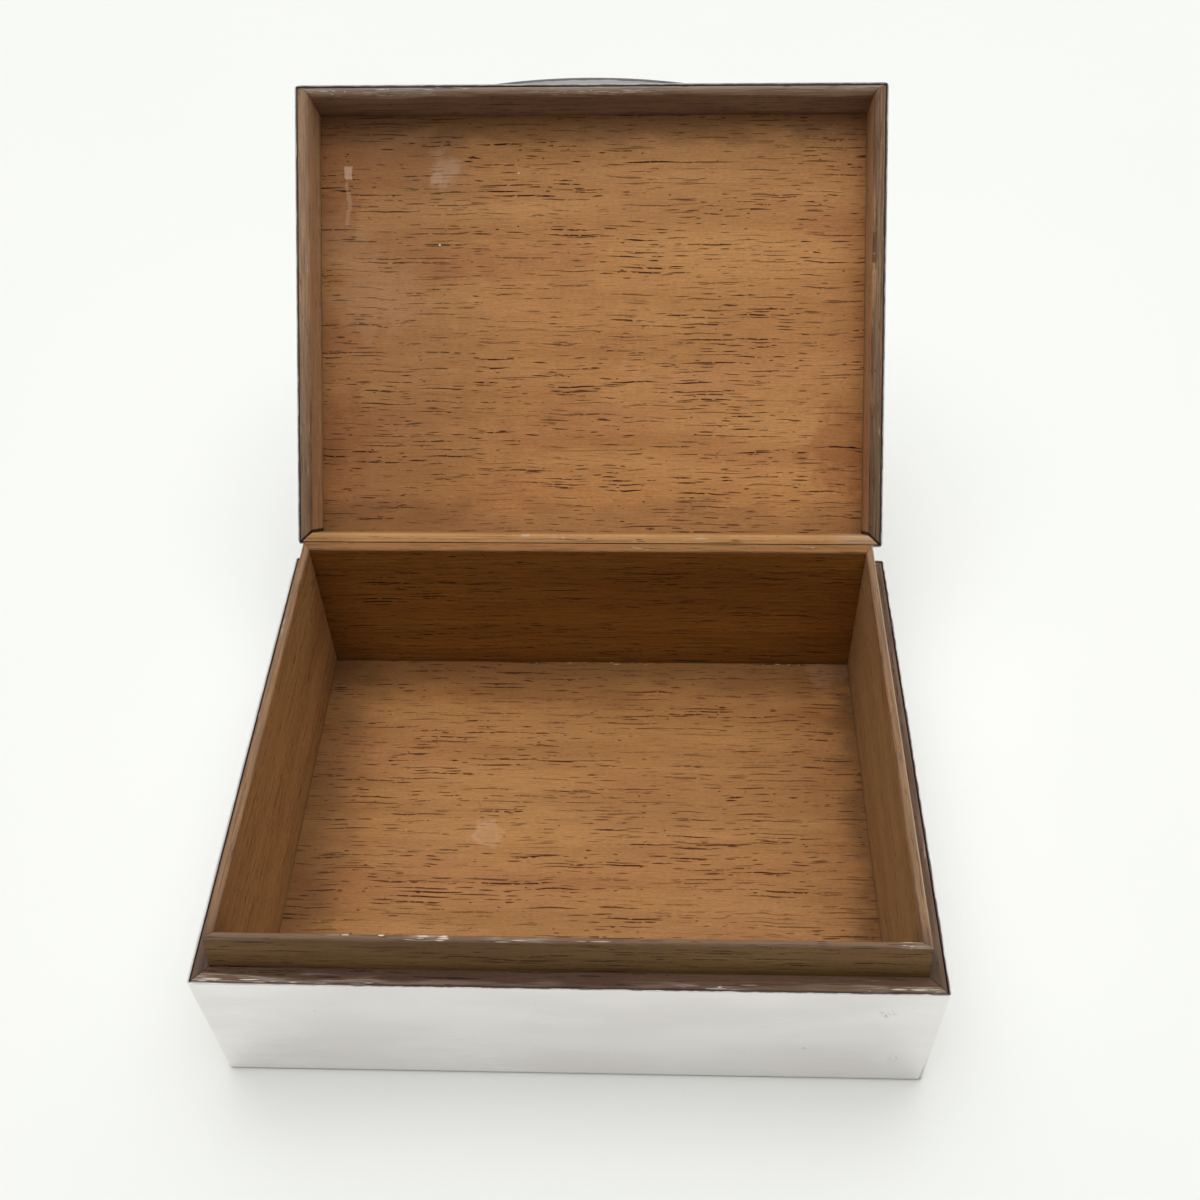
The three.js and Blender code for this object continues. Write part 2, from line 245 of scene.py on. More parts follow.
class Graph:
    """The nodes of one material or of the room, with a short call for each kind used here."""

    def __init__(self, owner, shader="Principled BSDF"):
        self.owner = owner
        owner.use_nodes = True
        self.tree = owner.node_tree
        self.shader = self.tree.nodes[shader]

    def add(self, kind, **settings):
        node = self.tree.nodes.new(kind)
        for key, value in settings.items():
            setattr(node, key, value)
        return node

    def put(self, socket, value):
        if isinstance(value, bpy.types.NodeSocket):
            self.tree.links.new(value, socket)
        else:
            socket.default_value = value

    def set(self, **values):
        for key, value in values.items():
            self.put(self.shader.inputs[key.replace("_", " ")], value)

    def point(self, on_lid):
        """The place on the piece in millimetres, with the lid's pieces turned back to the shut lid."""
        mapping = self.add("ShaderNodeMapping")
        self.put(mapping.inputs["Vector"], self.add("ShaderNodeTexCoord").outputs["Object"])
        mapping.inputs["Scale"].default_value = (1.0 / MILLIMETRE, 1.0 / MILLIMETRE, 1.0 / MILLIMETRE)
        if on_lid:
            turn = Matrix.Rotation(LID_TURN, 3, "X")
            axis = Vector(HINGE_AXIS)
            mapping.inputs["Rotation"].default_value = (LID_TURN, 0.0, 0.0)
            mapping.inputs["Location"].default_value = axis - turn @ axis
        return mapping.outputs["Vector"]

    def split(self, vector):
        node = self.add("ShaderNodeSeparateXYZ")
        self.put(node.inputs["Vector"], vector)
        return node.outputs["X"], node.outputs["Y"], node.outputs["Z"]

    def join(self, first, second):
        node = self.add("ShaderNodeCombineXYZ")
        self.put(node.inputs["X"], first)
        self.put(node.inputs["Y"], second)
        return node.outputs["Vector"]

    def grain(self, point, runs_along):
        """The place as distance along the grain and distance across it."""
        x, y, z = self.split(point)
        if runs_along == "X":
            return self.join(x, self.maths("ADD", y, z))
        return self.join(y, self.maths("ADD", x, z))

    def stretch(self, place, length, width, shift):
        node = self.add("ShaderNodeVectorMath", operation="MULTIPLY_ADD")
        self.put(node.inputs[0], place)
        node.inputs[1].default_value = (1.0 / length, 1.0 / width, 1.0 / width)
        node.inputs[2].default_value = (shift, shift, shift)
        return node.outputs["Vector"]

    def noise(self, place, length, width, shift, detail=1.0, dimensions="2D"):
        """Soft marks of this length and width in millimetres."""
        texture = self.add("ShaderNodeTexNoise", noise_dimensions=dimensions)
        self.put(texture.inputs["Vector"], self.stretch(place, length, width, shift))
        texture.inputs["Scale"].default_value = 1.0
        texture.inputs["Detail"].default_value = detail
        return texture.outputs[0]

    def fade(self, value, low, high, bottom=0.0, top=1.0):
        """Goes smoothly from bottom to top as value goes from low to high."""
        node = self.add("ShaderNodeMapRange", interpolation_type="SMOOTHSTEP")
        self.put(node.inputs["Value"], value)
        self.put(node.inputs["From Min"], low)
        self.put(node.inputs["From Max"], high)
        self.put(node.inputs["To Min"], bottom)
        self.put(node.inputs["To Max"], top)
        return node.outputs["Result"]

    def maths(self, operation, first, second=0.0):
        node = self.add("ShaderNodeMath", operation=operation)
        self.put(node.inputs[0], first)
        self.put(node.inputs[1], second)
        return node.outputs["Value"]

    def both(self, first, second):
        return self.maths("MULTIPLY", first, second)

    def either(self, first, second):
        return self.maths("MAXIMUM", first, second)

    def blend(self, factor, first, second, mode="MIX"):
        node = self.add("ShaderNodeMix", data_type="RGBA", blend_type=mode)
        self.put(node.inputs["Factor"], factor)
        self.put(node.inputs[FIRST_COLOUR], first)
        self.put(node.inputs[SECOND_COLOUR], second)
        return node.outputs[MIXED_COLOUR]

    def bump(self, height, millimetres, under=None):
        node = self.add("ShaderNodeBump")
        node.inputs["Strength"].default_value = 1.0
        node.inputs["Distance"].default_value = millimetres * MILLIMETRE
        self.put(node.inputs["Height"], height)
        if under is not None:
            self.put(node.inputs["Normal"], under)
        return node.outputs["Normal"]

    def spot(self, place, middle, radius, ragged):
        """A blot with a ragged edge round a middle point."""
        node = self.add("ShaderNodeVectorMath", operation="DISTANCE")
        self.put(node.inputs[0], place)
        node.inputs[1].default_value = (middle[0], middle[1], 0.0)
        fray = self.fade(ragged, 0.2, 0.8, -0.4 * radius, 0.4 * radius)
        return self.fade(self.maths("ADD", node.outputs["Value"], fray), radius, 0.4 * radius)

    def spots(self, place, marks, ragged):
        """Several blots, each with its own strength."""
        cover = 0.0
        for middle, radius, strength in marks:
            cover = self.either(cover, self.both(self.spot(place, middle, radius, ragged), strength))
        return cover


def dashes(graph, place, shift, cell, lengths, widths):
    """Short strokes along the grain, one at most in each cell, with the least and most of their sizes."""
    length, width = cell
    cells = graph.add("ShaderNodeTexVoronoi", voronoi_dimensions="2D", feature="F1")
    at = graph.stretch(place, length, width, shift)
    graph.put(cells.inputs["Vector"], at)
    cells.inputs["Scale"].default_value = 1.0
    offset = graph.add("ShaderNodeVectorMath", operation="SUBTRACT")
    graph.put(offset.inputs[0], at)
    graph.put(offset.inputs[1], cells.outputs["Position"])
    along, across, _ = graph.split(offset.outputs["Vector"])
    first, second, third = graph.split(cells.outputs["Color"])
    half = graph.fade(first, 0.0, 1.0, 0.5 * lengths[0] / length, 0.5 * lengths[1] / length)
    taper = graph.maths("SUBTRACT", 1.0, graph.maths("POWER", graph.maths("DIVIDE", along, half), 2.0))
    thick = graph.fade(second, 0.0, 1.0, 0.5 * widths[0] / width, 0.5 * widths[1] / width)
    reach = graph.both(thick, graph.either(taper, 0.0))
    depth = graph.maths("SUBTRACT", reach, graph.maths("ABSOLUTE", across))
    stroke = graph.fade(depth, -0.02, 0.05)
    return graph.both(stroke, graph.fade(third, 0.3, 0.65))


def wood_tone(graph, place, shift, light, dark, fibres):
    """Colour of the wood between its pores: slow bands, a blush, fine fibres and flecks."""
    bands = graph.noise(place, 70.0, 6.0, shift, detail=3.0)
    colour = graph.blend(graph.fade(bands, 0.3, 0.7), dark, light)
    blush = graph.noise(place, 40.0, 14.0, shift + 17.0, detail=3.0)
    colour = graph.blend(graph.fade(blush, 0.45, 0.7, top=0.4), colour, BLUSH, "MULTIPLY")
    colour = graph.blend(1.0, colour, graph.fade(fibres, 0.25, 0.75, 0.9, 1.08), "MULTIPLY")
    flecks = graph.noise(place, 0.9, 0.3, shift + 33.0, detail=2.0)
    return graph.blend(1.0, colour, graph.fade(flecks, 0.25, 0.75, 0.92, 1.07), "MULTIPLY")


def wood_pores(graph, place, shift):
    """Short dark pores along a slightly wavy grain, broken in places and crowded in some bands."""
    wave = graph.noise(place, 9.0, 30.0, shift + 5.0)
    along, across, _ = graph.split(place)
    bent = graph.join(along, graph.maths("ADD", across, graph.fade(wave, 0.2, 0.8, -0.2, 0.2)))
    long_pores = dashes(graph, bent, shift, cell=(13.0, 0.95), lengths=(2.0, 15.0), widths=(0.15, 0.34))
    short_pores = dashes(graph, bent, shift + 40.0, cell=(5.0, 0.75), lengths=(0.5, 4.6), widths=(0.13, 0.3))
    pores = graph.either(long_pores, graph.both(short_pores, 0.9))
    gaps = graph.fade(graph.noise(place, 1.6, 0.4, shift + 9.0), 0.34, 0.38)
    crowded = graph.fade(graph.noise(place, 45.0, 5.0, shift + 29.0, detail=2.0), 0.35, 0.6, 0.55, 1.0)
    return graph.both(pores, graph.both(gaps, crowded))


def wood_layers(graph, place, shift, light, dark, pore):
    """Colour, relief and pores of open-pored wood."""
    fibres = graph.noise(place, 5.0, 0.22, shift, detail=2.0)
    tone = wood_tone(graph, place, shift, light, dark, fibres)
    pores = wood_pores(graph, place, shift)
    relief = graph.maths("SUBTRACT", graph.both(fibres, 0.4), pores)
    return graph.blend(pores, tone, pore), relief, pores


def board_dirt_and_shade(graph, point, place, shift, dirt_and_shade, colour):
    """The board's colour darkened from its sides, by grime and by painted shade along the walls and strips.
    """
    x, y, _ = graph.split(point)
    cloudy = graph.fade(graph.noise(place, 9.0, 5.0, shift + 3.0, detail=3.0), 0.2, 0.8, -2.0, 2.0)
    distances = {
        "left": graph.maths("ADD", HALF_WIDTH, x),
        "right": graph.maths("SUBTRACT", HALF_WIDTH, x),
        "front": graph.maths("ADD", HALF_DEPTH, y),
        "back": graph.maths("SUBTRACT", HALF_DEPTH, y),
    }
    for side, (reach, darkness) in dirt_and_shade.items():
        distance = graph.maths("ADD", distances[side], cloudy)
        colour = graph.blend(graph.fade(distance, reach, 0.4 * reach, top=darkness), colour, BOARD_GRIME_AND_SHADE)
    return colour


def board_wood(name, on_lid, shift, tones, dirt_and_shade, marks=None):
    """Waxed boards of the lid, the floor and the base, grain along the width, with the marks of use,
    and darkened at their sides by grime and painted shade.
    """
    graph = Graph(bpy.data.materials.new(name))
    point = graph.point(on_lid)
    place = graph.grain(point, "X")
    colour, relief, pores = wood_layers(graph, place, shift, *tones)
    colour = board_dirt_and_shade(graph, point, place, shift, dirt_and_shade, colour)
    gloss = graph.fade(graph.noise(place, 18.0, 12.0, shift + 2.0, detail=3.0), 0.3, 0.7, 0.4, 0.56)
    if marks is not None:
        stain, film, specks = marks(graph, point)
        colour = graph.blend(stain, colour, STAIN, "MULTIPLY")
        colour = graph.blend(graph.both(film, 0.5), colour, FILM)
        # White specks, and on the floor painted glints along its back edge.
        colour = graph.blend(specks, colour, SPECK_AND_GLINT)
        gloss = graph.maths("SUBTRACT", gloss, graph.both(film, 0.12))
    graph.set(Base_Color=colour, Roughness=graph.maths("ADD", gloss, graph.both(pores, 0.2)))
    graph.set(Specular_IOR_Level=0.2, Normal=graph.bump(relief, 0.06))
    return graph.owner


def panel_tapes(graph, x, y, ragged):
    """Remains of old tape with frayed sides."""
    frayed = graph.maths("ADD", x, graph.fade(ragged, 0.2, 0.8, -0.5, 0.5))
    cover = 0.0
    for (middle_x, middle_y), (half_width, half_length), strength in PANEL_TAPES:
        beside = graph.maths("ABSOLUTE", graph.maths("SUBTRACT", frayed, middle_x))
        before = graph.maths("ABSOLUTE", graph.maths("SUBTRACT", y, middle_y))
        wide = graph.fade(beside, half_width, half_width - 0.2)
        tall = graph.fade(before, half_length, half_length - 0.4)
        cover = graph.either(cover, graph.both(graph.both(wide, tall), strength))
    return cover


def panel_marks(graph, point):
    """Old stains, a film of pale smudges and tape, and white specks on the lid's board."""
    x, y, _ = graph.split(point)
    flat = graph.join(x, y)
    ragged = graph.noise(point, 3.5, 3.5, 8.0, detail=3.0, dimensions="3D")
    stain = graph.spots(flat, PANEL_STAINS, ragged)
    film = graph.either(graph.spots(flat, PANEL_SMUDGES, ragged), panel_tapes(graph, x, y, ragged))
    specks = 0.0
    for middle, radius in PANEL_SPECKS:
        specks = graph.either(specks, graph.spot(flat, middle, radius, ragged))
    return stain, film, specks


def floor_marks(graph, point):
    """No stain, but a drop of wax and a dusty corner on the floor, and crumb specks with painted glints
    along its back edge.
    """
    x, y, _ = graph.split(point)
    flat = graph.join(x, y)
    ragged = graph.noise(point, 2.5, 2.5, 3.0, detail=2.0, dimensions="3D")
    middle, radius = FLOOR_DROP
    outer = graph.spot(flat, middle, radius, ragged)
    inner = graph.spot(flat, middle, 0.75 * radius, ragged)
    drop = graph.maths("SUBTRACT", graph.both(outer, 0.75), graph.both(inner, 0.4))
    film = graph.either(drop, graph.both(graph.spot(flat, *FLOOR_DUST, ragged), 0.3))
    crumbs_and_glints = dashes(graph, flat, 7.0, cell=(3.0, 0.5), lengths=(0.2, 1.6), widths=(0.1, 0.25))
    back_wall = HALF_DEPTH - LINER_INSET
    at_back = graph.fade(y, back_wall - 0.7, back_wall - 0.3)
    scattered = graph.fade(graph.noise(flat, 16.0, 16.0, 4.0), 0.45, 0.6, top=0.7)
    return 0.0, film, graph.both(graph.both(crumbs_and_glints, at_back), scattered)


def from_side(graph, point):
    return graph.maths("SUBTRACT", HALF_WIDTH, graph.maths("ABSOLUTE", graph.split(point)[0]))


def from_front(graph, point):
    return graph.maths("ADD", HALF_DEPTH, graph.split(point)[1])


def from_back(graph, point):
    return graph.maths("SUBTRACT", HALF_DEPTH, graph.split(point)[1])


def inset(graph, point):
    """How far a place lies in from the outside of the case."""
    from_end = graph.maths("SUBTRACT", HALF_DEPTH, graph.maths("ABSOLUTE", graph.split(point)[1]))
    return graph.maths("MINIMUM", from_side(graph, point), from_end)


def below_lip(graph, point):
    return graph.maths("SUBTRACT", LIP_TOP, graph.split(point)[2])


def inside_lid_rim(graph, point):
    return graph.maths("SUBTRACT", graph.split(point)[2], LID_RIM)


def strip_dirt_and_shade(graph, point, on_lid):
    """Grime and painted shade where a strip meets its board, and on the body where the lip meets the ledge.
    """
    z = graph.split(point)[2]
    if on_lid:
        return graph.fade(graph.maths("SUBTRACT", LID_FRAME_TOP, z), *FOOT_DIRT_AND_SHADE, top=0.4)
    at_floor = graph.fade(graph.maths("SUBTRACT", z, FLOOR_TOP), *FOOT_DIRT_AND_SHADE, top=0.4)
    outside = graph.fade(inset(graph, point), *LIP_OUTSIDE)
    on_ledge = graph.fade(graph.maths("SUBTRACT", z, RIM_HEIGHT), *LEDGE_DIRT_AND_SHADE, top=0.3)
    return graph.either(at_floor, graph.both(outside, on_ledge))


def lid_marks(graph, point, runs_along):
    """Dust on the right end of the hinge strip, and painted shade in the mitres that have opened there."""
    to_hinge = from_back(graph, point)
    at_hinge = graph.fade(to_hinge, *HINGE_STRIP)
    mitre = graph.maths("ABSOLUTE", graph.maths("SUBTRACT", to_hinge, from_side(graph, point)))
    # Painted shade in the opened mitres by the hinge.
    dark = graph.both(graph.fade(mitre, *MITRE_GAP, top=0.95), at_hinge)
    if runs_along == "Y":
        return 0.0, dark
    dust_and_highlight = graph.both(at_hinge, graph.fade(graph.split(point)[0], *HINGE_DUST, top=0.45))
    return dust_and_highlight, dark


def body_marks(graph, point, runs_along):
    """A painted highlight along the right wall's top edge, and grime in the front corners of the side walls.
    """
    x, _, z = graph.split(point)
    # A pale line painted as a highlight along the right wall's rounded top.
    dust_and_highlight = graph.both(graph.fade(x, *ARRIS_SIDE), graph.fade(z, *ARRIS_TOP, top=0.6))
    if runs_along == "X":
        return dust_and_highlight, 0.0
    return dust_and_highlight, graph.fade(from_front(graph, point), *CORNER_GRIME, top=0.46)


def wear_and_sheen(graph, place, depth, reach, patches):
    """How far the rubbing of a strip's edge and its painted sheen reach: in patches, and more towards its
    ends.
    """
    along = graph.split(place)[0]
    to_end = graph.fade(graph.maths("ABSOLUTE", along), 0.3 * HALF_WIDTH, 0.8 * HALF_WIDTH)
    patchy = graph.maths("ADD", depth, graph.fade(patches, 0.2, 0.8, -0.5 * reach, 0.5 * reach))
    patchy = graph.maths("SUBTRACT", patchy, graph.both(to_end, 0.4 * reach))
    return graph.fade(patchy, reach, 0.25 * reach)


def bare_and_shining_stretches(graph, place, scuffed_and_glinting):
    along = graph.split(place)[0]
    bare_and_shining = 0.0
    for middle, half_length in scuffed_and_glinting:
        away = graph.maths("ABSOLUTE", graph.maths("SUBTRACT", along, middle))
        bare_and_shining = graph.either(bare_and_shining, graph.fade(away, half_length, 0.4 * half_length))
    return bare_and_shining


def scuff_and_glint_marks(graph, place, shift, bare_and_shining):
    """Short pale strokes, scuff marks and painted glints, in some stretches only and most on the listed
    ones.
    """
    strokes = dashes(graph, place, shift + 80.0, cell=(2.8, 0.36), lengths=(0.5, 3.4), widths=(0.09, 0.27))
    where = graph.noise(place, 16.0, 2.0, shift + 6.0, detail=2.0)
    where = graph.fade(graph.maths("ADD", where, graph.both(bare_and_shining, 0.28)), 0.63, 0.73)
    return graph.both(strokes, where)


def worn_and_sheen_colour(graph, place, shift, runs_along, worn_and_sheen, bare_and_shining, rub_and_sheen, colour):
    """The strip's colour with rubbing and a painted sheen, cracked along the grain, and grazing with a
    painted sheen in fine streaks on its listed stretches.
    """
    colour = graph.blend(graph.both(worn_and_sheen, 0.9), colour, rub_and_sheen)
    cracks = dashes(graph, place, shift + 60.0, cell=(9.0, 0.45), lengths=(1.5, 9.0), widths=(0.06, 0.2))
    cracked = 0.85 if runs_along == "X" else 0.35
    colour = graph.blend(graph.both(graph.both(cracks, worn_and_sheen), cracked), colour, CRACK)
    # Fine streaks of painted sheen that grey the listed stretches of the strip.
    grazed_sheen = graph.fade(graph.noise(place, 6.0, 0.2, shift + 14.0, detail=3.0), 0.46, 0.62, top=0.7)
    return graph.blend(graph.both(graph.both(bare_and_shining, worn_and_sheen), grazed_sheen), colour, GRAZE_AND_SHEEN)


def settled_colour(graph, point, runs_along, on_lid, streaks, colour):
    """Dust, a painted highlight, grime, painted shade in open mitres and the soot at the back left,
    over the strip's colour.
    """
    dust_and_highlight, dark = lid_marks(graph, point, runs_along) if on_lid else body_marks(graph, point, runs_along)
    colour = graph.blend(graph.both(dust_and_highlight, streaks), colour, DUST_AND_HIGHLIGHT)
    colour = graph.blend(dark, colour, SOOT_AND_SHADE)
    if runs_along == "Y":
        return colour
    x, y, _ = graph.split(point)
    sooty = graph.both(graph.fade(x, *SOOT_TO_LEFT, top=0.28), graph.fade(y, *SOOT_TO_BACK))
    return graph.blend(sooty, colour, SOOT_AND_SHADE)


def strip_wood(name, runs_along, on_lid, shift, tones, edge, reach, rub_and_sheen, glints, scuffed_and_glinting=()):
    """Strips that hands rub: with rubbing and a painted sheen along their edge, and dark with grime and
    painted shade in their corners.

    edge measures how far a place lies from the worn edge, and reach is how far the wear goes in.
    glints is how bright the scuff strokes and painted glints are, and the last argument lists the stretches
    with the most of them."""
    graph = Graph(bpy.data.materials.new(name))
    point = graph.point(on_lid)
    place = graph.grain(point, runs_along)
    depth = edge(graph, point)
    patches = graph.noise(place, 11.0, 0.9, shift + 4.0, detail=3.0)
    streaks = graph.fade(graph.noise(place, 14.0, 0.3, shift + 11.0, detail=2.0), 0.35, 0.6, 0.66, 1.0)
    worn_and_sheen = graph.both(wear_and_sheen(graph, place, depth, reach, patches), streaks)
    bare_and_shining = bare_and_shining_stretches(graph, place, scuffed_and_glinting)
    colour, relief, _ = wood_layers(graph, place, shift, *tones)
    # Grime and painted shade at the strip's foot and above the ledge.
    colour = graph.blend(strip_dirt_and_shade(graph, point, on_lid), colour, CORNER_DIRT_AND_SHADE)
    colour = worn_and_sheen_colour(graph, place, shift, runs_along, worn_and_sheen, bare_and_shining, rub_and_sheen, colour)
    if on_lid and runs_along == "Y":
        along_side = graph.fade(from_back(graph, point), *SOIL_ALONG, top=0.4)
        colour = graph.blend(graph.both(along_side, graph.fade(depth, *SOIL_DOWN)), colour, SOIL)
    near_edge = graph.fade(depth, reach, 0.5 * reach, top=glints)
    scuffs_and_glints = graph.both(scuff_and_glint_marks(graph, place, shift, bare_and_shining), near_edge)
    # Pale strokes: scuff marks and painted glints.
    colour = graph.blend(scuffs_and_glints, colour, SCUFF_AND_GLINT)
    colour = settled_colour(graph, point, runs_along, on_lid, streaks, colour)
    gloss = graph.fade(patches, 0.3, 0.7, 0.45, 0.62)
    graph.set(Base_Color=colour, Roughness=graph.maths("SUBTRACT", gloss, graph.both(scuffs_and_glints, 0.2)))
    under = graph.bump(patches, 0.14)
    graph.set(Specular_IOR_Level=0.2, Normal=graph.bump(relief, 0.06, under))
    return graph.owner


def by_hinge(graph, point):
    """The lid's back wall between its ends, without the hinge behind it."""
    x, y, _ = graph.split(point)
    between_ends = graph.fade(graph.maths("ABSOLUTE", x), HALF_WIDTH - 1.2, HALF_WIDTH - 2.0)
    behind_frame = graph.fade(y, HALF_DEPTH - 1.2, HALF_DEPTH - 0.6)
    before_hinge = graph.fade(y, HALF_DEPTH + 0.2, HALF_DEPTH + 0.1)
    return graph.both(graph.both(behind_frame, before_hinge), between_ends)


def cut_edge(graph, point, uneven, depth):
    """Dark line along the inner half of the sheet's cut edge, partly tarnishing and partly painted shade and
    dark reflection.
    """
    on_edge = graph.fade(graph.maths("ADD", depth, uneven), 0.2, 0.05)
    inner_half = graph.fade(graph.maths("ADD", inset(graph, point), uneven), 0.1, 0.25)
    return graph.both(on_edge, inner_half)


def body_edge(graph, point, uneven):
    """Cut edge of the body's silver, fainter at the left."""
    x, _, z = graph.split(point)
    to_right = graph.fade(x, -HALF_WIDTH, -0.4 * HALF_WIDTH, 0.45, 1.0)
    return graph.both(cut_edge(graph, point, uneven, graph.maths("SUBTRACT", RIM_HEIGHT, z)), to_right)


def lid_edge(graph, point, uneven):
    """Cut edge of the lid's silver, dark over its whole thickness by the hinge."""
    depth = inside_lid_rim(graph, point)
    whole_edge = graph.both(graph.fade(depth, 0.3, 0.1), by_hinge(graph, point))
    return graph.either(cut_edge(graph, point, uneven, depth), whole_edge)


def bow_edge(graph, point, uneven):
    """Grey border along the bow of the thumb-piece, and painted shade on its underside."""
    x, y, z = graph.split(point)
    share = graph.maths("DIVIDE", x, THUMB_HALF_WIDTH)
    bow = graph.both(graph.maths("SUBTRACT", 1.0, graph.both(share, share)), THUMB_PROJECTION)
    depth = graph.maths("ADD", graph.maths("ADD", y, HALF_DEPTH), bow)
    border = graph.fade(graph.maths("ADD", depth, uneven), 0.5, 0.3, top=0.9)
    thumb_foot = LID_RIM + THUMB_LIFT
    underside = graph.fade(z, thumb_foot + 0.3, thumb_foot + 0.1, top=0.35)
    return graph.either(border, underside)


def front_tarnish_and_shade(graph, point, ragged):
    """Dark foot of the silver band, tarnishing and painted contact shade, and specks on its front."""
    x, _, z = graph.split(point)
    tarnish_and_shade = graph.fade(z, BAND_FOOT + 0.35, BAND_FOOT + 0.05, top=0.5)
    on_front = graph.fade(from_front(graph, point), 0.55, 0.25)
    dots = graph.fade(graph.noise(point, 0.5, 0.5, 3.0, detail=2.0, dimensions="3D"), 0.5, 0.62)
    specks = graph.spots(graph.join(x, z), FRONT_SPECKS, ragged)
    return graph.either(tarnish_and_shade, graph.both(graph.both(specks, on_front), dots))


def silver(name, on_lid, edge, marked_front=False, waxed=None):
    """Old polished silver: soft wobble, hair scratches, faint tarnishing and a dark edge that is partly
    painted shade.

    waxed says where the dark edge is covered with wax from the wood."""
    graph = Graph(bpy.data.materials.new(name))
    point = graph.point(on_lid)
    clouds = graph.noise(point, 26.0, 9.0, 2.0, detail=3.0, dimensions="3D")
    colour = graph.blend(graph.fade(clouds, 0.35, 0.7), SILVER_BRIGHT, SILVER_DULL)
    ragged = graph.noise(point, 2.2, 2.2, 6.0, detail=3.0, dimensions="3D")
    colour = graph.blend(graph.fade(ragged, 0.72, 0.8, top=0.35), colour, FAINT_TARNISH)
    tarnish_and_shade = edge(graph, point, graph.fade(ragged, 0.2, 0.8, -0.1, 0.1))
    if marked_front:
        tarnish_and_shade = graph.either(tarnish_and_shade, front_tarnish_and_shade(graph, point, ragged))
    # The dark colour is tarnishing and painted shade on the edges, the band's foot and the thumb-piece's
    # underside.
    colour = graph.blend(graph.both(tarnish_and_shade, 0.9), colour, DARK_TARNISH_AND_SHADE)
    metal = 1.0
    if waxed is not None:
        wax = graph.both(tarnish_and_shade, waxed(graph, point))
        colour = graph.blend(wax, colour, WAX)
        metal = graph.maths("SUBTRACT", 1.0, wax)
    scratches = graph.fade(graph.noise(point, 16.0, 0.14, 1.0, dimensions="3D"), 0.64, 0.74)
    smears = graph.noise(point, 14.0, 20.0, 8.0, detail=3.0, dimensions="3D")
    gloss = graph.fade(smears, 0.3, 0.7, 0.14, 0.26)
    gloss = graph.maths("ADD", gloss, graph.both(scratches, 0.05))
    gloss = graph.maths("ADD", gloss, graph.both(tarnish_and_shade, 0.3))
    graph.set(Base_Color=colour, Metallic=metal, Roughness=gloss)
    wobble = graph.bump(graph.noise(point, 16.0, 16.0, 4.0, detail=0.0, dimensions="3D"), 0.1)
    graph.set(Normal=graph.bump(scratches, 0.001, wobble))
    return graph.owner


def hinge_wire():
    """Drawn wire of the hinge pin, dulled along its length."""
    graph = Graph(bpy.data.materials.new("hinge_wire"))
    lines = graph.noise(graph.point(False), 3.0, 0.1, 1.0, detail=2.0, dimensions="3D")
    colour = graph.blend(graph.fade(lines, 0.35, 0.65), WIRE_BRIGHT, WIRE_DULL)
    graph.set(Base_Color=colour, Metallic=1.0, Roughness=graph.fade(lines, 0.3, 0.7, 0.22, 0.4))
    graph.set(Normal=graph.bump(lines, 0.01))
    return graph.owner


def baize():
    """Napped green cloth under the box."""
    graph = Graph(bpy.data.materials.new("baize"))
    point = graph.point(False)
    nap = graph.noise(point, 0.4, 0.4, 1.0, detail=4.0, dimensions="3D")
    brushed = graph.noise(point, 14.0, 14.0, 5.0, detail=3.0, dimensions="3D")
    colour = graph.blend(graph.fade(nap, 0.3, 0.7), BAIZE_DEEP, BAIZE_NAP)
    colour = graph.blend(graph.fade(brushed, 0.45, 0.7, top=0.35), colour, BAIZE_BRUSHED)
    graph.set(Base_Color=colour, Roughness=graph.fade(nap, 0.2, 0.8, 0.85, 1.0))
    graph.set(Sheen_Weight=0.35, Sheen_Roughness=0.5)
    graph.set(Normal=graph.bump(nap, 0.18))
    return graph.owner


def silver_finishes():
    body = silver("silver_body", False, body_edge, marked_front=True)
    lid = silver("silver_lid", True, lid_edge, waxed=by_hinge)
    return {
        "silver_body_band": body,
        "body_hinge_bearer": body,
        "body_knuckle": body,
        "silver_lid_shell": lid,
        "lid_hinge_bearer": lid,
        "lid_knuckle": lid,
        "thumb_piece": silver("silver_thumb", True, bow_edge),
        "hinge_pin": hinge_wire(),
    }


def board_finishes():
    return {
        "base_baize": baize(),
        "base_board": board_wood("base_wood", False, 31.0, BASE, BASE_DIRT),
        "floor_panel": board_wood("floor_wood", False, 0.0, FLOOR, FLOOR_DIRT_AND_SHADE, floor_marks),
        "lid_panel": board_wood("panel_wood", True, 57.0, PANEL, PANEL_DIRT_AND_SHADE, panel_marks),
    }


def wall_finishes():
    return {
        "liner_left": strip_wood("wall_left", "Y", False, 13.0, LEFT_WALL, below_lip, 0.5, WALL_RUB, 0.5),
        "liner_right": strip_wood("wall_right", "Y", False, 71.0, RIGHT_WALL, below_lip, 0.5, WALL_RUB, 0.5),
        "liner_back": strip_wood("wall_back", "X", False, 23.0, BACK_WALL, below_lip, 0.6, BACK_RUB, 0.4),
        "liner_front": strip_wood(
            "wall_front", "X", False, 37.0, LIP, below_lip, 0.5, LIP_RUB_AND_SHEEN, 1.0, LIP_SCUFFS_AND_GLINTS),
    }


def ledge_finishes():
    return {
        "carcass_front": strip_wood(
            "ledge_front", "X", False, 41.0, LEDGE, inset, 1.5, LEDGE_RUB_AND_SHEEN, 1.0, LEDGE_SCUFFS_AND_GLINTS),
        "carcass_back": strip_wood("ledge_back", "X", False, 43.0, LEDGE, inset, 1.3, LEDGE_RUB_AND_SHEEN, 0.8),
        "carcass_left": strip_wood("ledge_left", "Y", False, 47.0, SIDE_LEDGE, inset, 1.3, LEDGE_RUB_AND_SHEEN, 0.8),
        "carcass_right": strip_wood("ledge_right", "Y", False, 53.0, SIDE_LEDGE, inset, 1.3, LEDGE_RUB_AND_SHEEN, 0.8),
    }


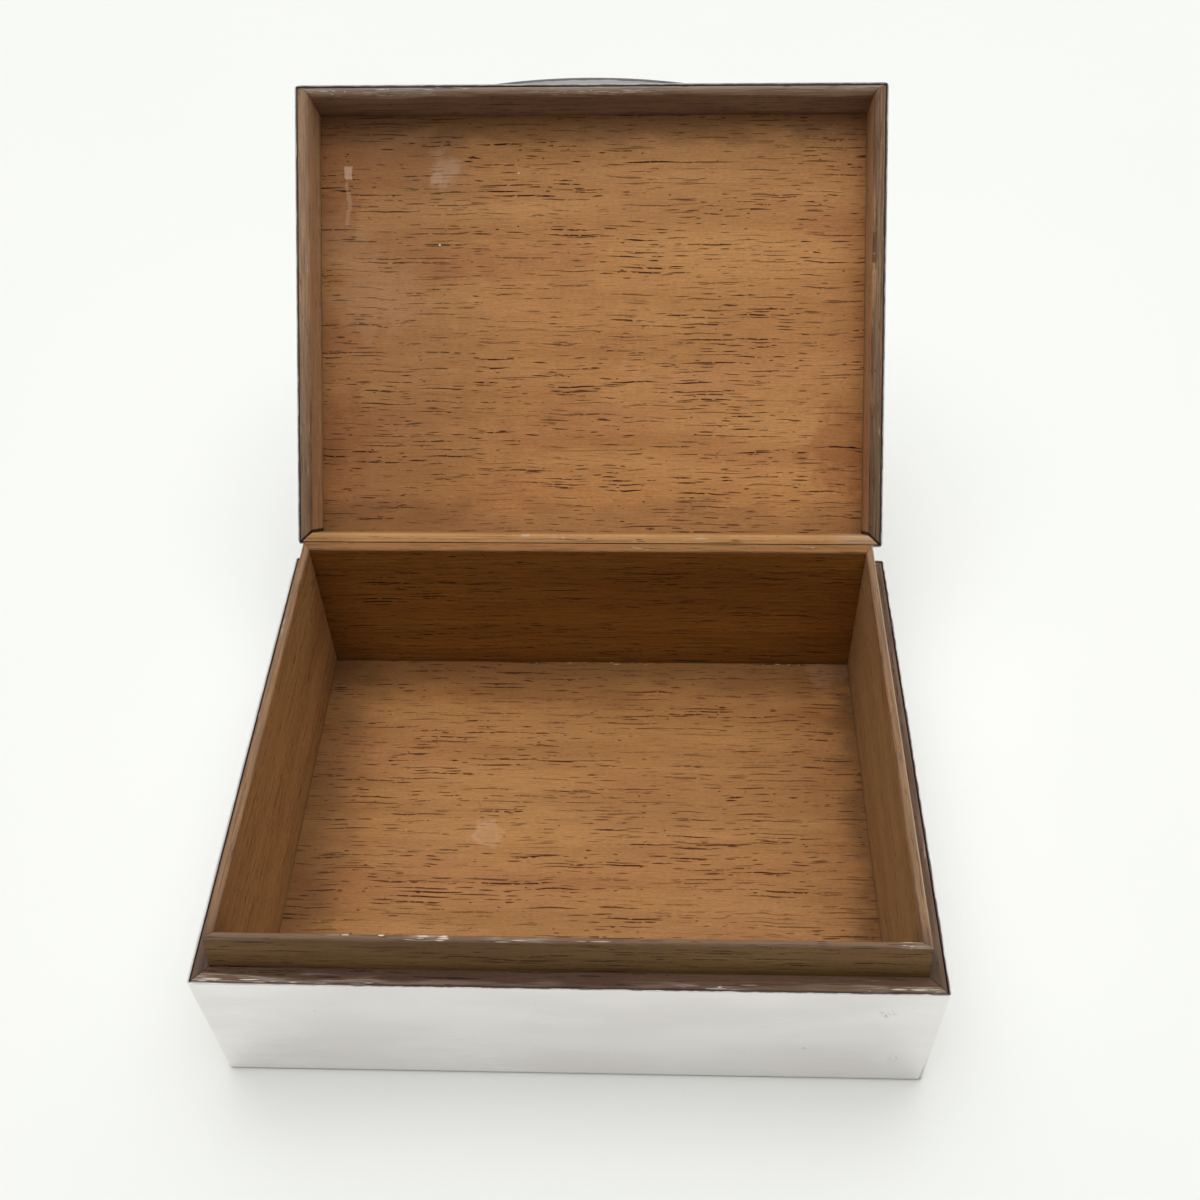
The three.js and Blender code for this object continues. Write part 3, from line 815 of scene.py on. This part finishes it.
def frame_finishes():
    return {
        # The front strip's rubbing reaches over its rounding and down its inner face as painted light.
        "lid_frame_front": strip_wood(
            "frame_front", "X", True, 59.0, LID_FRONT, inside_lid_rim, 1.8, FRONT_RUB_AND_LIGHT, 1.0, FRAME_SCUFFS_AND_GLINTS),
        "lid_frame_back": strip_wood(
            "frame_back", "X", True, 61.0, LID_BACK, inside_lid_rim, 1.2, HINGE_RUB, 0.4),
        "lid_frame_left": strip_wood(
            "frame_left", "Y", True, 67.0, LID_LEFT, inside_lid_rim, 1.0, SIDE_RUB, 0.6),
        "lid_frame_right": strip_wood(
            "frame_right", "Y", True, 73.0, LID_RIGHT, inside_lid_rim, 1.0, RIGHT_RUB, 0.6),
    }


def paint():
    """Gives every CAD node its material. The numbered knuckles of a body share one."""
    finishes = {}
    for group in (silver_finishes, board_finishes, wall_finishes, ledge_finishes, frame_finishes):
        finishes.update(group())
    for name, piece in nodes.items():
        key = name if name in finishes else name.rsplit("_", 1)[0]
        piece.material_slots[0].material = finishes[key]


def soft_edge(piece, millimetres):
    bevel = piece.modifiers.new("soft_edges", "BEVEL")
    bevel.width = millimetres * MILLIMETRE
    bevel.segments = 2
    bevel.limit_method = "ANGLE"
    bevel.angle_limit = SHARP_ANGLE


def soften(name, millimetres):
    """Takes the sharpness off a CAD node's edges."""
    weld = nodes[name].modifiers.new("join_corners", "WELD")
    weld.merge_threshold = JOINED_WITHIN * MILLIMETRE
    soft_edge(nodes[name], millimetres)


def soften_edges():
    for name in nodes:
        if name.startswith(("liner", "carcass", "lid_frame")):
            soften(name, WOOD_ROUNDING)
        elif name.startswith(("silver", "thumb", "body_hinge", "lid_hinge")):
            soften(name, SILVER_ROUNDING)


def baize_trim(share):
    """How far the cut runs inside the cloth's full size, from the middle of a side, 0, to its end, 0.5."""
    wander = BAIZE_WANDER * (0.5 + 0.5 * math.sin(BAIZE_WAVES * share))
    corner = BAIZE_CORNER * (2.0 * abs(share)) ** BAIZE_CELLS
    return MILLIMETRE * (wander + corner)


def lay_baize():
    """The cloth glued under the box, cut by hand, in place of its plain CAD solid."""
    low, high = (Vector(corner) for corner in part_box("base_baize"))
    width, length, thickness = high - low
    middle = (low + high) / 2
    cloth = bmesh.new()
    bmesh.ops.create_grid(cloth, x_segments=BAIZE_CELLS, y_segments=BAIZE_CELLS, size=0.5)
    for vertex in cloth.verts:
        across, along, _ = vertex.co
        vertex.co.x = middle.x + across * (width - 2.0 * baize_trim(along))
        vertex.co.y = middle.y + along * (length - 2.0 * baize_trim(across))
        vertex.co.z = middle.z
    mesh = bpy.data.meshes.new("baize_sheet")
    cloth.to_mesh(mesh)
    cloth.free()
    mesh.materials.append(nodes["base_baize"].material_slots[0].material)
    sheet = bpy.data.objects.new("baize_sheet", mesh)
    bpy.context.scene.collection.objects.link(sheet)
    body = sheet.modifiers.new("thickness", "SOLIDIFY")
    body.thickness = thickness
    body.offset = 0.0
    soft_edge(sheet, CLOTH_ROUNDING)
    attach(sheet, "box")
    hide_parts("base_baize")


def floor():
    """The pale table that the box stands on."""
    graph = Graph(bpy.data.materials.new("pale_floor"))
    clouds = graph.noise(graph.point(False), 90.0, 90.0, 1.0, detail=3.0)
    graph.set(Base_Color=graph.blend(clouds, TABLE_DULL, TABLE_BRIGHT), Roughness=0.7)
    bpy.ops.mesh.primitive_plane_add(size=TABLE_SIDE, location=(0.0, 0.0, 0.0))
    plane = bpy.context.object
    plane.name = "floor"
    plane.data.materials.append(graph.owner)


def room():
    """A pale room lit softly from overhead and behind, dim where the photographer stood."""
    world = bpy.data.worlds.new("pale_room")
    graph = Graph(world, "Background")
    bpy.context.scene.world = world
    direction = graph.add("ShaderNodeTexCoord").outputs["Generated"]
    _, y, z = graph.split(direction)
    light = graph.either(graph.fade(z, *OVERHEAD, top=TOP_LIGHT), graph.fade(y, *BEHIND, top=BACK_LIGHT))
    light = graph.either(light, ROUND_LIGHT)
    facing = graph.add("ShaderNodeVectorMath", operation="DOT_PRODUCT")
    graph.put(facing.inputs[0], direction)
    facing.inputs[1].default_value = DIM_SIDE
    shine = graph.fade(facing.outputs["Value"], *DIM_SPREAD, ROOM_REFLECTED, DIM_LEVEL)
    paths = graph.add("ShaderNodeLightPath").outputs
    mirrored = graph.either(paths["Is Glossy Ray"], paths["Is Transmission Ray"])
    strength = graph.fade(mirrored, 0.0, 1.0, light, shine)
    strength = graph.fade(paths["Is Camera Ray"], 0.0, 1.0, strength, ROOM_SEEN)
    graph.set(Color=(1.0, 1.0, 1.0, 1.0), Strength=strength)


def camera():
    """The photograph's viewpoint."""
    forward = Vector((
        math.sin(CAMERA_YAW) * math.cos(CAMERA_PITCH),
        math.cos(CAMERA_YAW) * math.cos(CAMERA_PITCH),
        -math.sin(CAMERA_PITCH),
    ))
    level = Vector((math.cos(CAMERA_YAW), -math.sin(CAMERA_YAW), 0.0))
    upright = level.cross(forward)
    right = level * math.cos(CAMERA_ROLL) + upright * math.sin(CAMERA_ROLL)
    up = upright * math.cos(CAMERA_ROLL) - level * math.sin(CAMERA_ROLL)
    lens = bpy.data.cameras.new("camera")
    lens.sensor_width = SENSOR_WIDTH
    lens.lens = FOCAL_PIXELS / IMAGE_SIDE * SENSOR_WIDTH
    lens.shift_x = (IMAGE_SIDE / 2 - OPTICAL_CENTRE[0]) / IMAGE_SIDE
    lens.shift_y = (OPTICAL_CENTRE[1] - IMAGE_SIDE / 2) / IMAGE_SIDE
    lens.clip_start = NEAREST_SEEN
    holder = bpy.data.objects.new("camera", lens)
    axes = Matrix((right, up, -forward)).transposed().to_4x4()
    holder.matrix_world = Matrix.Translation(CAMERA_PLACE) @ axes
    bpy.context.scene.collection.objects.link(holder)
    bpy.context.scene.camera = holder


camera()
room()
floor()
paint()
lay_baize()
soften_edges()
bpy.context.scene.view_settings.view_transform = "Standard"
